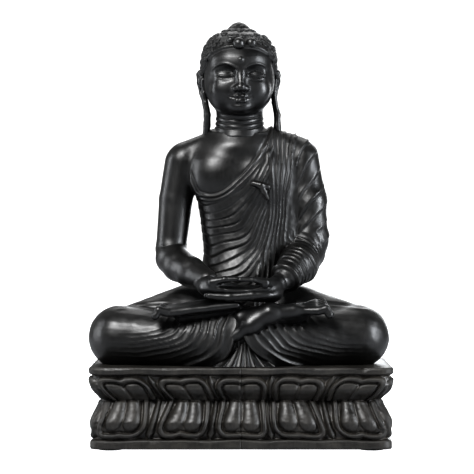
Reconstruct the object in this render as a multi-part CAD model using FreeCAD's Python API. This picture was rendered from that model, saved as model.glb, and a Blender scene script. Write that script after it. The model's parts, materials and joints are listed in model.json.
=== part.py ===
"""A seated meditation figure on a double-lotus pedestal, carved from joined hardwood blocks.

Millimetres. +Z up, the figure faces -Y, its own left side is at +X.
The origin is the middle of the plane that the felt pads stand on.
Each glued block, dowel, screw and pad is one node in parts/.
"""
import FreeCAD, Part
import math
import os

os.makedirs("parts", exist_ok=True)
Vector = FreeCAD.Vector
UP = Vector(0, 0, 1)
RIGHT = Vector(1, 0, 0)
BACK = Vector(0, 1, 0)

# ---- driving dimensions ----
total_height = 305.0
pedestal_width = 215.0
pedestal_depth = 112.0
pedestal_top = 58.2
pad_thickness = 1.2
plinth_top = 7.2
waist_z = 33.6
slab_bottom = 52.8
corner_radius = 7.0
waist_inset = 10.0

figure_x = -1.5          # the carving sits a little off the pedestal's middle
trunk_y = 14.0           # middle of the trunk and head, front to back
knee_span = 212.0
lap_depth = 96.0
lap_top = 110.0
trunk_foot = 100.0
shoulder_top = 217.0
shoulder_joint_x = 37.0   # each arm is glued to a flat at this distance from the figure's middle
neck_seat = 225.0
neck_radius = 16.5
elbow_joint_z = 143.0
sleeve_thickness = 1.0   # the robe covers the left arm only
skull_top = 295.0
skull_half_width = 28.3

cavity_half_x = 68.0
cavity_half_y = 32.0
cavity_top = 48.0
ledge = 6.0
board_thickness = 4.0
board_gap = 0.3
pad_radius = 8.0

dowel_radius = 4.0
small_dowel_radius = 2.5
pin_radius = 1.5
screw_radius = 2.0
screw_clearance = 0.5
head_height = 3.0
washer_thickness = 1.2
screw_tip = 80.0
board_screw_radius = 1.2
board_screw_length = 13.0
peg_radius = 3.0
peg_low, peg_high = 48.0, 68.0
seam_dowel_length = 36.0
neck_dowel_length = 28.0
lap_dowel_length = 26.0
shoulder_dowel_length = 23.0
elbow_dowel_length = 16.0
foot_dowel_length = 14.0
crown_peg_length = 16.0
ear_pin_length = 8.5

# ---- places of fixings: (x, y) on the pedestal, (y, z) across its seam ----
seam_dowel_places = [(y, z) for y in (-42.5, 42.5) for z in (20.0, 42.5)]
fixing_places = [(side * 38.0, 10.0) for side in (-1, 1)]
peg_places = [(side * 80.0, 4.0) for side in (-1, 1)]
board_screw_places = [(sx * (cavity_half_x + ledge / 2), sy * 24.0) for sx in (-1, 1) for sy in (-1, 1)]
pad_places = [(sx * 92.0, sy * 42.0) for sx in (-1, 1) for sy in (-1, 1)]


# ---- shapes that many pieces share ----
def ring(centre, across, along, half_across, half_along, power=2.0, points=16):
    """A closed smooth wire: a superellipse of the given half sizes in the plane of two directions."""
    found = []
    for i in range(points):
        angle = 2 * math.pi * i / points
        c, s = math.cos(angle), math.sin(angle)
        u = math.copysign(abs(c) ** (2 / power), c) * half_across
        v = math.copysign(abs(s) ** (2 / power), s) * half_along
        found.append(centre + across * u + along * v)
    curve = Part.BSplineCurve()
    curve.interpolate(found, PeriodicFlag=True)
    return Part.Wire([curve.toShape()])


def loft(wires, ruled=False):
    return Part.makeLoft(wires, True, ruled)


def level_loft(rows, power=2.0):
    """A solid through level rings, each (z, x, y, half width, half depth)."""
    return loft([ring(Vector(x, y, z), RIGHT, BACK, a, b, power) for z, x, y, a, b in rows])


def limb(rows, flatten=1.0):
    """A solid along a bent path, each row (x, y, z, radius). Its rings stand square to the path."""
    points = [Vector(*row[:3]) for row in rows]
    wires = []
    for i, row in enumerate(rows):
        before, after = points[max(i - 1, 0)], points[min(i + 1, len(rows) - 1)]
        along = (after - before).normalize()
        side = along.cross(UP)
        side = side.normalize() if side.Length > 0.2 else Vector(0, 1, 0)
        rise = side.cross(along).normalize()
        wires.append(ring(points[i], side, rise, row[3], row[3] * flatten, points=12))
    return loft(wires)


def rounded_rectangle(z, half_x, half_y, radius):
    """A closed level wire of four straight sides and four corner arcs."""
    edges = []
    for sx, sy in ((1, 1), (-1, 1), (-1, -1), (1, -1)):
        cx, cy = sx * (half_x - radius), sy * (half_y - radius)
        start = math.atan2(sy, sx) - math.pi / 4
        p = [Vector(cx + radius * math.cos(start + k * math.pi / 4),
                    cy + radius * math.sin(start + k * math.pi / 4), z) for k in range(3)]
        edges.append((p, Part.Arc(*p).toShape()))
    wire = []
    for i, (p, arc) in enumerate(edges):
        following = edges[(i + 1) % 4][0]
        wire += [arc, Part.makeLine(p[2], following[0])]
    return Part.Wire(wire)


def rod(x, y, z, radius, length, direction=UP):
    return Part.makeCylinder(radius, length, Vector(x, y, z), direction)


def group(shapes):
    return Part.makeCompound(shapes)


def cut_all(shape, tools):
    for tool in tools:
        shape = shape.cut(tool)
    return shape


def one_solid(shape):
    """The largest solid of a cut shape, with its split faces joined."""
    solid = max(shape.Solids, key=lambda s: s.Volume)
    return solid.removeSplitter()


# ---- pedestal ----
def pedestal_blank():
    """Plinth, lower lotus, waist, upper lotus and top slab, before it is halved."""
    half_x, half_y = pedestal_width / 2, pedestal_depth / 2
    plinth = loft([rounded_rectangle(z, half_x - 1.5, half_y - 1.5, corner_radius)
                   for z in (pad_thickness, plinth_top)], ruled=True)
    lower_rise = waist_z - plinth_top
    upper_rise = slab_bottom - waist_z
    lower = [(plinth_top, 3.0), (plinth_top + 0.3 * lower_rise, 1.0), (plinth_top + 0.6 * lower_rise, 3.0),
             (plinth_top + 0.82 * lower_rise, 6.5), (waist_z, waist_inset)]
    upper = [(waist_z, waist_inset), (waist_z + 0.3 * upper_rise, 4.0), (waist_z + 0.62 * upper_rise, 1.0),
             (slab_bottom, 1.0)]
    tiers = [loft([rounded_rectangle(z, half_x - inset, half_y - inset, corner_radius) for z, inset in rows],
                  ruled=True) for rows in (lower, upper)]
    slab = loft([rounded_rectangle(z, half_x, half_y, corner_radius)
                 for z in (slab_bottom, pedestal_top)], ruled=True)
    return plinth.fuse(tiers[0]).fuse(tiers[1]).fuse(slab).removeSplitter()


def box_about(half_x, half_y, z0, z1):
    """A box about the pedestal's upright axis, from z0 to z1."""
    return Part.makeBox(2 * half_x, 2 * half_y, z1 - z0, Vector(-half_x, -half_y, z0))


def seam_dowels():
    start = -seam_dowel_length / 2
    return [rod(start, y, z, dowel_radius, seam_dowel_length, RIGHT) for y, z in seam_dowel_places]


def locating_pegs():
    return [rod(x, y, peg_low, peg_radius, peg_high - peg_low) for x, y in peg_places]


def board_screw(x, y):
    """A small countersunk wood screw, its flat head flush with the board's underside."""
    head = Part.makeCone(2 * board_screw_radius, board_screw_radius, 1.5, Vector(x, y, pad_thickness))
    return head.fuse(rod(x, y, pad_thickness, board_screw_radius, board_screw_length)).removeSplitter()


def fixing_screw(x, y):
    """A pan-head wood screw that pulls the lap block down on the pedestal."""
    shoulder = cavity_top - washer_thickness
    head = rod(x, y, shoulder - head_height, 4.0, head_height)
    return head.fuse(rod(x, y, shoulder - head_height, screw_radius, screw_tip - shoulder + head_height))


def washer(x, y):
    z = cavity_top - washer_thickness
    return rod(x, y, z, 6.0, washer_thickness).cut(rod(x, y, z, screw_radius + 0.2, washer_thickness))


def base_board():
    board = box_about(cavity_half_x + ledge - board_gap, cavity_half_y + ledge - board_gap,
                      pad_thickness, pad_thickness + board_thickness)
    return cut_all(board, [board_screw(x, y) for x, y in board_screw_places])


def pedestal_halves():
    """The blank with its cavity, rebate and bores, sawn at x = 0 into two glued halves."""
    blank = pedestal_blank()
    cavity = box_about(cavity_half_x, cavity_half_y, pad_thickness, cavity_top)
    rebate = box_about(cavity_half_x + ledge, cavity_half_y + ledge,
                       pad_thickness, pad_thickness + board_thickness)
    bores = [rod(x, y, cavity_top, screw_radius + screw_clearance, pedestal_top - cavity_top)
             for x, y in fixing_places]
    tools = [cavity, rebate] + bores + seam_dowels() + locating_pegs()
    tools += [board_screw(x, y) for x, y in board_screw_places]
    blank = cut_all(blank, tools)
    reach = pedestal_width
    sides = {}
    for name, x in (("pedestal_right_block", -reach), ("pedestal_left_block", 0.0)):
        sides[name] = one_solid(blank.common(Part.makeBox(reach, reach, reach, Vector(x, -reach / 2, 0))))
    return sides


# ---- figure ----
def lap_blank():
    """Both folded legs as one cross block: rings across the statue from knee to knee."""
    end = knee_span / 2
    rows = [(1.00, -8, 80.5, 5, 6), (0.975, -8, 79.5, 19, 14), (0.92, -7, 77.5, 29, 19.5),
            (0.82, -5, 77, 38, 24), (0.66, -2, 77.5, 45, 27.5), (0.4, 0, 78, lap_depth / 2, 31.5),
            (0.0, 1, 78, lap_depth / 2 - 1, lap_top - 78)]
    rows = rows + [row for row in rows[-2::-1]]
    wires = []
    for i, (share, y, z, half_y, half_z) in enumerate(rows):
        x = figure_x + end * share * (-1 if i < len(rows) / 2 else 1)
        wires.append(ring(Vector(x, y, z), BACK, UP, half_y, half_z, 2.3))
    solid = loft(wires)
    below = Part.makeBox(2 * pedestal_width, 2 * pedestal_depth, pedestal_top,
                         Vector(-pedestal_width, -pedestal_depth, 0))
    return solid.cut(below)


def trunk_blank():
    rows = [(trunk_foot, 30.0, 25.0), (112.0, 28.5, 23.0), (126.0, 27.0, 21.5), (140.0, 27.0, 21.5),
            (158.0, 30.0, 23.0), (180.0, 37.0, 25.0), (197.0, 42.0, 24.0), (208.0, 43.5, 21.5),
            (shoulder_top, 37.0, 17.5), (neck_seat, neck_radius + 3.0, neck_radius - 1.0)]
    trunk = level_loft([(z, figure_x, trunk_y, a, b) for z, a, b in rows], power=2.25)
    between_arms = Part.makeBox(2 * shoulder_joint_x, pedestal_depth, total_height,
                                Vector(figure_x - shoulder_joint_x, -pedestal_depth / 2, 0))
    return trunk.common(between_arms)


def upper_arm_blank(side):
    rows = [(elbow_joint_z, 52.0, 12.0, 10.2), (160.0, 50.5, 13.0, 10.9), (176.0, 48.5, 14.0, 11.8),
            (192.0, 46.0, 14.5, 12.6), (203.0, 42.5, 15.0, 13.2), (210.0, 39.5, 15.0, 12.0),
            (215.5, 34.0, 15.0, 8.0)]
    grow = sleeve_thickness if side > 0 else 0.0
    arm = level_loft([(z, figure_x + side * x, y, r + grow, r + grow) for z, x, y, r in rows])
    near = figure_x + side * shoulder_joint_x
    outside = Part.makeBox(knee_span, pedestal_depth, total_height,
                           Vector(min(near, near + side * knee_span), -pedestal_depth / 2, 0))
    return arm.common(outside)


def forearm_blank(side):
    """From the elbow joint forward and inward to the wrist; the left one is mirrored and has a sleeve on."""
    bend = [(52.0, 12.0, elbow_joint_z, 10.2), (50.5, 9.0, 134.5, 10.6), (43.5, -2.0, 127.0, 9.6),
            (32.0, -18.0, 120.5, 7.8), (22.0, -30.0, 116.0, 5.4)]
    points = [Vector(figure_x - x, y, z) for x, y, z, _ in bend]
    wires = []
    for i, row in enumerate(bend):
        along = -UP if i == 0 else (points[min(i + 1, len(bend) - 1)] - points[i - 1]).normalize()
        across = BACK.cross(along).normalize()
        radius = row[3] + (sleeve_thickness if side > 0 else 0.0)
        wires.append(ring(points[i], across, along.cross(across), radius, radius, points=12))
    right_arm = loft(wires)
    return right_arm if side < 0 else right_arm.mirror(Vector(figure_x, 0, 0), RIGHT)


def hand_blank(side, low, reach):
    """A palm and four closed fingers as one flat loft, from the wrist across the lap, with a thumb."""
    palm = [(side * 24.0, -31.0, low + 5.5, 6.2), (side * 14.0, -37.0, low + 4.4, 7.6),
            (side * 2.0, -40.0, low + 3.6, 8.2), (-side * 12.0, -41.0, low + 3.0, 7.6),
            (-side * reach, -41.0, low + 2.6, 4.5)]
    return limb([(figure_x + x, y, z, r) for x, y, z, r in palm], 0.44)


def foot_blank(side):
    """A foot lying sole up on the opposite thigh; the one at +X starts with its crossing shin."""
    if side > 0:
        rows = [(4.0, -42.0, 87.0, 9.0), (18.0, -42.5, 94.0, 9.6), (36.0, -42.0, 97.5, 8.4),
                (52.0, -40.0, 98.0, 6.8), (62.0, -38.0, 97.0, 4.0)]
    else:
        rows = [(-4.0, -39.0, 100.5, 6.0), (-20.0, -40.0, 100.5, 7.4), (-38.0, -40.0, 99.5, 7.2),
                (-51.0, -39.0, 97.5, 6.4), (-59.5, -38.0, 95.5, 4.0)]
    return limb([(figure_x + x, y, z, r) for x, y, z, r in rows], 0.8)


def head_blank():
    rows = [(236.0, 10.0, 3.0, 9.0), (240.0, 16.5, 6.5, 16.0), (248.0, 22.5, 10.0, 22.5),
            (258.0, 26.3, 12.5, 26.5), (270.0, skull_half_width, trunk_y, 28.5), (280.0, 26.5, trunk_y, 27.0),
            (288.0, 20.5, trunk_y, 21.0), (293.0, 12.0, trunk_y, 12.5), (skull_top, 5.0, trunk_y, 5.0)]
    skull = level_loft([(z, figure_x, y, a, b) for z, a, y, b in rows], 2.15)
    neck = level_loft([(neck_seat, figure_x, trunk_y, neck_radius + 1.0, neck_radius - 1.0),
                       (232.0, figure_x, trunk_y - 0.5, neck_radius, neck_radius - 1.0),
                       (244.0, figure_x, trunk_y, neck_radius - 1.0, neck_radius)])
    return skull.fuse(neck)


def crown_knob_blank():
    rows = [(284.0, 14.0), (291.0, 14.4), (296.5, 12.2), (301.0, 8.6), (304.0, 4.4), (total_height, 1.5)]
    return level_loft([(z, figure_x, trunk_y, r, r) for z, r in rows])


def ear_blank(side):
    """A tall ear whose lobe hangs to the shoulder: level rings from the tip to the rim."""
    rows = [(222.0, 27.5, 12.0, 2.6, 3.4), (231.0, 26.5, 13.0, 2.1, 3.6), (243.0, 25.2, 15.0, 2.3, 4.4),
            (254.0, 27.2, 16.5, 2.6, 5.6), (264.0, 29.6, 17.5, 2.6, 6.2), (270.0, 30.0, 18.0, 1.8, 3.4)]
    return level_loft([(z, figure_x + side * x, y, a, b) for z, x, y, a, b in rows])


def hem_fan_blank():
    """The pleated hem that spreads over the pedestal in front of the crossed shins."""
    rows = [(pedestal_top, 27.0, -42.0, 9.5), (61.5, 24.0, -40.5, 9.0), (67.0, 13.0, -38.5, 8.0),
            (73.0, 6.0, -37.0, 7.0)]
    return level_loft([(z, figure_x, y, a, b) for z, a, y, b in rows], 2.6)


# ---- dowels of the figure, each from the point where it starts ----
def lap_dowels():
    return [rod(figure_x + side * 14.0, trunk_y, 88.0, dowel_radius, lap_dowel_length) for side in (-1, 1)]


def neck_dowel():
    return rod(figure_x, trunk_y, neck_seat - neck_dowel_length / 2, dowel_radius, neck_dowel_length)


def shoulder_dowels():
    return [rod(figure_x + side * 28.0, 15.0, 196.0, dowel_radius, shoulder_dowel_length, RIGHT * side)
            for side in (-1, 1)]


def elbow_dowels():
    return [rod(figure_x + side * 51.8, 12.2, elbow_joint_z - 7.0, small_dowel_radius, elbow_dowel_length)
            for side in (-1, 1)]


def wrist_dowels():
    found = []
    for side, target_z in ((-1, 115.0), (1, 108.5)):
        start = Vector(figure_x + side * 27.5, -23.5, 118.0)
        end = Vector(figure_x + side * 15.5, -36.5, target_z)
        found.append(Part.makeCylinder(pin_radius, (end - start).Length, start, end - start))
    return found


def foot_dowels():
    return [rod(figure_x + side * 30.0, -34.0, 84.0, small_dowel_radius, foot_dowel_length)
            for side in (-1, 1)]


def crown_peg():
    return rod(figure_x, trunk_y, 284.0, small_dowel_radius, crown_peg_length)


def ear_pins():
    return [rod(figure_x + side * 20.5, 17.5, 262.0, pin_radius, ear_pin_length, RIGHT * side)
            for side in (-1, 1)]


def build():
    """Every node: each block is cut clear of the blocks that it is fitted to, then bored for its dowels."""
    nodes = pedestal_halves()
    trunk = trunk_blank()
    lap = lap_blank()
    head = head_blank()
    upper = {side: upper_arm_blank(side) for side in (-1, 1)}
    fore = {side: forearm_blank(side) for side in (-1, 1)}
    hand = {1: hand_blank(1, 104.0, 23.0), -1: hand_blank(-1, 111.5, 19.0)}
    foot = {side: foot_blank(side) for side in (-1, 1)}
    ear = {side: ear_blank(side) for side in (-1, 1)}

    screws = [fixing_screw(x, y) for x, y in fixing_places]
    housed = [trunk, foot[-1], foot[1]]
    nodes["lap_block"] = cut_all(lap, housed + lap_dowels() + locating_pegs() + foot_dowels() + screws)
    nodes["torso_block"] = cut_all(trunk, lap_dowels() + [neck_dowel()] + shoulder_dowels())
    nodes["head_block"] = cut_all(head, [neck_dowel(), crown_peg()] + ear_pins())
    nodes["crown_knob"] = cut_all(crown_knob_blank(), [head, crown_peg()])
    nodes["hem_fan"] = cut_all(hem_fan_blank(), [lap, foot[1]])
    nodes["left_foot"] = cut_all(foot[-1], foot_dowels())
    nodes["right_foot"] = cut_all(foot[1], [foot[-1]] + foot_dowels())
    for side, word in ((-1, "right"), (1, "left")):
        nodes[word + "_upper_arm"] = cut_all(upper[side], shoulder_dowels() + elbow_dowels())
        nodes[word + "_forearm"] = cut_all(fore[side], elbow_dowels() + wrist_dowels())
        nodes[word + "_ear"] = cut_all(ear[side], [head, trunk, upper[side]] + ear_pins())
        below = [fore[1], foot[-1]] if side > 0 else [fore[-1], fore[1], hand[1]]
        nodes[word + "_hand"] = cut_all(hand[side], below + wrist_dowels())
    nodes = {name: one_solid(shape) for name, shape in nodes.items()}

    nodes["base_board"] = base_board()
    nodes["base_board_screws"] = group([board_screw(x, y) for x, y in board_screw_places])
    nodes["fixing_screws"] = group(screws)
    nodes["screw_washers"] = group([washer(x, y) for x, y in fixing_places])
    nodes["felt_pads"] = group([rod(x, y, 0, pad_radius, pad_thickness) for x, y in pad_places])
    nodes["seam_dowels"] = group(seam_dowels())
    nodes["locating_pegs"] = group(locating_pegs())
    nodes["lap_dowels"] = group(lap_dowels())
    nodes["neck_dowel"] = neck_dowel()
    nodes["shoulder_dowels"] = group(shoulder_dowels())
    nodes["elbow_dowels"] = group(elbow_dowels())
    nodes["wrist_dowels"] = group(wrist_dowels())
    nodes["foot_dowels"] = group(foot_dowels())
    nodes["crown_peg"] = crown_peg()
    nodes["ear_pins"] = group(ear_pins())
    return nodes


def main():
    for name, shape in build().items():
        shape.exportStep("parts/" + name + ".step")
        print(name, "valid" if shape.isValid() else "NOT VALID", round(shape.Volume, 1), len(shape.Solids))


if __name__ == "__main__":
    main()
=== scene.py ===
"""The looks of a seated meditation figure carved in dark wood, on its double-lotus pedestal.

Shapes are worked out in millimetres: X from the figure's middle, Y from the pedestal's middle (the front
is negative) and Z from the floor. They become metres when a mesh is made. "Right" and "left" are the
figure's own, so its right side is at -X.
"""
import itertools
import json
import math
import bmesh
import bpy
import numpy as np
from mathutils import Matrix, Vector


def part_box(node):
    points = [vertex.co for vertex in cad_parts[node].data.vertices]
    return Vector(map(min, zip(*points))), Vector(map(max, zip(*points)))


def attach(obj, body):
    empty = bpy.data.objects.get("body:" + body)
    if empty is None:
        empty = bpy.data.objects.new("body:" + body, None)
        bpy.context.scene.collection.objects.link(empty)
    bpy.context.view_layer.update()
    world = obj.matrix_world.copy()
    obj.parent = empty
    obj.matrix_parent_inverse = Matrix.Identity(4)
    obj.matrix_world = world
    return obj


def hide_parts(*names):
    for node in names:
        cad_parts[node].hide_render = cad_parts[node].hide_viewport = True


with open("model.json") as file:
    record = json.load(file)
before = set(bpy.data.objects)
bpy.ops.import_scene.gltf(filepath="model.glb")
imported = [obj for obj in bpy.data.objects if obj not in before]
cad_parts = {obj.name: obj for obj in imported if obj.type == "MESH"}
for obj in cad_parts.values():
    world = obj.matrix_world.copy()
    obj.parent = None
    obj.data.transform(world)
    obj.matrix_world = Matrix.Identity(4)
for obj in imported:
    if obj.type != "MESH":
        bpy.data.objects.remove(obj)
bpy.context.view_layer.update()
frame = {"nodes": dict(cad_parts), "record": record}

MM = 0.001


# ---------------------------------------------------------------- places read from the frame
def corners(node):
    """Lowest and highest corner of a frame node, in millimetres."""
    return [np.array(corner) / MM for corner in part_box(node)]


pedestal_low, pedestal_high = corners("pedestal_left_block")
torso_low, torso_high = corners("torso_block")
fan_low, fan_high = corners("hem_fan")

half_width, half_depth, slab_top = pedestal_high
pad_top = pedestal_low[2]
middle_x, trunk_y = 0.5 * (torso_low + torso_high)[:2]
elbow_z = corners("right_upper_arm")[0][2]
crown_top = corners("crown_knob")[1][2]


# ---------------------------------------------------------------- small functions on whole arrays
def smooth_step(x, start, end):
    """0 before start, 1 after end, and an even S between them."""
    t = np.clip((x - start) / (end - start), 0.0, 1.0)
    return t * t * (3.0 - 2.0 * t)


def bell(x, width):
    """A rounded bump of height 1: e to the minus (x over width) squared."""
    return np.exp(-(x / width) ** 2)


def join_soft(a, b, blend):
    """The smaller of two distances, rounded by a parabola where they differ by less than blend."""
    near = np.maximum(blend - np.abs(a - b), 0.0) / blend
    return np.minimum(a, b) - near * near * blend * 0.25


def ply(phase, lean=0.18):
    """Folds of cloth: narrow round crests and wide hollows, one for each whole step of phase.

    The height is 1 at a crest and falls to 0 as one less the root of the sine's size. Lean makes one
    side of each crest steeper than the other.
    """
    turn = phase + lean * np.sin(2 * np.pi * phase) / np.pi
    return 1.0 - np.sqrt(np.abs(np.sin(np.pi * turn)) + 0.004)


def lapped(phase, fall=0.2):
    """Folds of cloth that lap like tiles: a slow rise to a lip, then a quick fall, once each whole step.

    The rise is a power of the distance over all but the last share of the step; the fall is half a cosine.
    """
    t = phase - np.floor(phase)
    rise = np.minimum(t / (1 - fall), 1.0) ** 1.5
    return np.where(t < 1 - fall, rise, 0.5 + 0.5 * np.cos(np.pi * (t - 1 + fall) / fall))


def wobble(points, size, seed):
    """Slow uneven waves between about -1 and 1: six sines about size long, of random direction and phase."""
    chance = np.random.default_rng(seed)
    total = np.zeros(points.shape[:-1])
    for _ in range(6):
        way = chance.normal(size=3)
        way *= 2 * np.pi / (size * np.linalg.norm(way)) * chance.uniform(0.7, 1.4)
        total += np.sin(points @ way + chance.uniform(0, 2 * np.pi))
    return total / 3.0


def curve_through(value, knots):
    """A smooth curve through (value, result) knots: cubics whose slopes come from the knots beside them."""
    x, y = np.array(knots, float).T
    slope = np.gradient(y, x)
    i = np.clip(np.searchsorted(x, value) - 1, 0, len(x) - 2)
    wide = x[i + 1] - x[i]
    t = np.clip((value - x[i]) / wide, 0, 1)
    s = 1 - t
    return (s * s * (1 + 2 * t) * y[i] + t * t * (3 - 2 * t) * y[i + 1]
            + wide * (s * s * t * slope[i] - t * t * s * slope[i + 1]))


# ---------------------------------------------------------------- solid forms as distances
def limb(a, b, radius_a, radius_b):
    """A tapering round bar: distance to the line a-b, less a radius that changes evenly along it."""
    a, b = np.array(a, float), np.array(b, float)
    run = b - a
    length = float(run @ run)

    def distance(x, y, z):
        px, py, pz = x - a[0], y - a[1], z - a[2]
        t = np.clip((px * run[0] + py * run[1] + pz * run[2]) / length, 0.0, 1.0)
        gap = np.sqrt((px - t * run[0]) ** 2 + (py - t * run[1]) ** 2 + (pz - t * run[2]) ** 2)
        return gap - (radius_a + t * (radius_b - radius_a))

    reach = max(radius_a, radius_b)
    return distance, np.minimum(a, b) - reach, np.maximum(a, b) + reach


def egg(centre, radii):
    """An ellipsoid: k (k - 1) / g, with k the scaled distance from the centre and g its slope."""
    centre, radii = np.array(centre, float), np.array(radii, float)

    def distance(x, y, z):
        px, py, pz = x - centre[0], y - centre[1], z - centre[2]
        k = np.sqrt((px / radii[0]) ** 2 + (py / radii[1]) ** 2 + (pz / radii[2]) ** 2) + 1e-6
        g = np.sqrt((px / radii[0] ** 2) ** 2 + (py / radii[1] ** 2) ** 2 + (pz / radii[2] ** 2) ** 2) + 1e-6
        return k * (k - 1.0) / g

    return distance, centre - radii, centre + radii


def chain(points, radii, blend, *owner):
    """Tapering bars from point to point, as parts for a block: each a form, its blend and perhaps its owner.

    blend is one number, or one for each bar.
    """
    blends = np.broadcast_to(blend, len(points) - 1).tolist()
    return [(limb(a, b, ra, rb), soft, *owner)
            for a, b, ra, rb, soft in zip(points, points[1:], radii, radii[1:], blends)]


def column(rows, power):
    """A stack of level rings. Each row is z, right, left, front and back half size about the trunk's axis.

    The distance is the level distance to the ring: radius times one less the inverse of the scaled radius.
    """
    rows = np.array(rows, float)

    def distance(x, y, z):
        right, left, front, back = (np.interp(z, rows[:, 0], rows[:, i]) for i in range(1, 5))
        py = y - trunk_y
        across = np.where(x < 0, x / right, x / left)
        along = np.where(py < 0, py / front, py / back)
        scaled = (np.abs(across) ** power + np.abs(along) ** power) ** (1 / power) + 1e-6
        level = np.sqrt(x * x + py * py) * (1.0 - 1.0 / scaled)
        return np.maximum(level, np.maximum(rows[0, 0] - z, z - rows[-1, 0]))

    wide, deep = rows[:, 1:3].max(), rows[:, 3:].max()
    return (distance, np.array([-wide, trunk_y - deep, rows[0, 0]]),
            np.array([wide, trunk_y + deep, rows[-1, 0]]))


class Block:
    """A block of small cubes, each corner holding its rough distance to the carving's skin."""

    far = 30.0

    def __init__(self, low, high, cell):
        self.low = np.array(low, float)
        self.cell = cell
        counts = np.ceil((np.array(high) - self.low) / cell).astype(int) + 1
        self.value = np.full(counts, self.far, np.float32)
        self.owners = []

    def window(self, low, high):
        """The slices between two corners, with their x, y and z as open arrays."""
        first = np.maximum(np.floor((low - self.low) / self.cell).astype(int), 0)
        last = np.minimum(np.ceil((high - self.low) / self.cell).astype(int) + 1, self.value.shape)
        slices = tuple(slice(a, max(b, a)) for a, b in zip(first, last))
        axes = [self.low[i] + self.cell * np.arange(first[i], max(last[i], first[i])) for i in range(3)]
        return slices, np.ix_(*[axis.astype(np.float32) for axis in axes])

    def add(self, form, blend, owner=0):
        """Joins a form to the block with a rounded crease."""
        distance, low, high = form
        slices, (x, y, z) = self.window(low - blend - 3.0, high + blend + 3.0)
        self.value[slices] = join_soft(self.value[slices], distance(x, y, z), blend)
        self.owners.append((owner, distance))

    def add_all(self, parts):
        """Joins parts one after another, each a form, its blend and perhaps its owner."""
        for part in parts:
            self.add(*part)

    def dig(self, form, blend):
        """Takes a form away, with a rounded rim."""
        distance, low, high = form
        slices, (x, y, z) = self.window(low - blend - 3.0, high + blend + 3.0)
        self.value[slices] = -join_soft(-self.value[slices], distance(x, y, z), blend)

    def trim_below(self, height):
        """Cuts the block off flat at a height."""
        z = self.low[2] + self.cell * np.arange(self.value.shape[2])
        self.value = np.maximum(self.value, (height - z)[None, None, :].astype(np.float32))

    def at(self, points):
        """The block's value between its corners, weighted by nearness along each axis."""
        place = (points - self.low) / self.cell
        base = np.clip(np.floor(place).astype(int), 0, np.array(self.value.shape) - 2)
        part = place - base
        total = np.zeros(len(points))
        for step in itertools.product((0, 1), repeat=3):
            weight = np.prod(np.where(np.array(step) == 1, part, 1.0 - part), axis=1)
            i, j, k = (base + step).T
            total += weight * self.value[i, j, k]
        return total

    def slope(self, points):
        """The direction in which the distance grows, from differences half a cell each way."""
        step = 0.5 * self.cell
        found = np.stack([self.at(points + step * axis) - self.at(points - step * axis)
                          for axis in np.eye(3)], 1)
        size = np.linalg.norm(found, axis=1, keepdims=True)
        return found / np.maximum(size, 1e-9), size[:, 0] / (2 * step)

    def nearest_owner(self, points):
        """The number of the owner whose form is nearest to each point."""
        best = np.full(len(points), np.inf)
        owner = np.zeros(len(points), int)
        for number, distance in self.owners:
            gap = distance(*points.T)
            closer = gap < best
            best = np.where(closer, gap, best)
            owner = np.where(closer, number, owner)
        return owner


CUBE = np.array(list(itertools.product((0, 1), repeat=3)))
CUBE_EDGES = [(a, b) for a in range(8) for b in range(a + 1, 8) if np.abs(CUBE[a] - CUBE[b]).sum() == 1]


def skin_of(block):
    """The surface where a block's distance is zero.

    Each crossed cube holds one point, the mean of its edge crossings, and each crossed edge one square.
    Points are evened out between their neighbours and stepped back along the slope on to the zero surface.
    """
    value = block.value
    inside = value < 0
    spans = [n - 1 for n in value.shape]
    views = [inside[i:i + spans[0], j:j + spans[1], k:k + spans[2]] for i, j, k in CUBE]
    count = sum(view.astype(np.int8) for view in views)
    crossed = (count > 0) & (count < 8)
    cubes = np.argwhere(crossed)
    number = np.full(crossed.shape, -1, np.int32)
    number[crossed] = np.arange(len(cubes))
    held = np.stack([value[tuple((cubes + corner).T)] for corner in CUBE], 1)
    middle = np.zeros((len(cubes), 3))
    hits = np.zeros(len(cubes))
    for a, b in CUBE_EDGES:
        cut = (held[:, a] < 0) != (held[:, b] < 0)
        t = np.where(cut, held[:, a] / np.where(cut, held[:, a] - held[:, b], 1.0), 0.0)
        middle += np.where(cut[:, None], CUBE[a] + t[:, None] * (CUBE[b] - CUBE[a]), 0.0)
        hits += cut
    points = block.low + block.cell * (cubes + middle / hits[:, None])

    squares = []
    for axis in range(3):
        u, w = (axis + 1) % 3, (axis + 2) % 3
        ahead = np.roll(inside, -1, axis)
        change = inside != ahead
        for side in range(3):
            edge = [slice(None)] * 3
            edge[side] = -1
            change[tuple(edge)] = False
            if side != axis:
                edge[side] = 0
                change[tuple(edge)] = False
        place = np.argwhere(change)
        around = []
        for du, dw in ((-1, -1), (0, -1), (0, 0), (-1, 0)):
            shifted = place.copy()
            shifted[:, u] += du
            shifted[:, w] += dw
            around.append(number[tuple(shifted.T)])
        square = np.stack(around, 1)
        outward = inside[tuple(place.T)]
        squares.append(np.where(outward[:, None], square, square[:, ::-1]))
    faces = np.concatenate(squares)
    for _ in range(3):
        points += 0.6 * (neighbour_mean(points, faces) - points)
        for _ in range(2):
            way, steepness = block.slope(points)
            points -= way * (block.at(points) / np.maximum(steepness, 0.4))[:, None]
    return points, faces


def neighbour_mean(points, faces):
    """The mean of the points at the other ends of each point's edges."""
    a, b = faces.ravel(), np.roll(faces, -1, axis=1).ravel()
    ends, others = np.concatenate([a, b]), np.concatenate([b, a])
    counts = np.maximum(np.bincount(ends, minlength=len(points)), 1)
    columns = points.reshape(len(points), -1)
    sums = [np.bincount(ends, weights=columns[others, i], minlength=len(points))
            for i in range(columns.shape[1])]
    return (np.stack(sums, 1) / counts[:, None]).reshape(points.shape)


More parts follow.
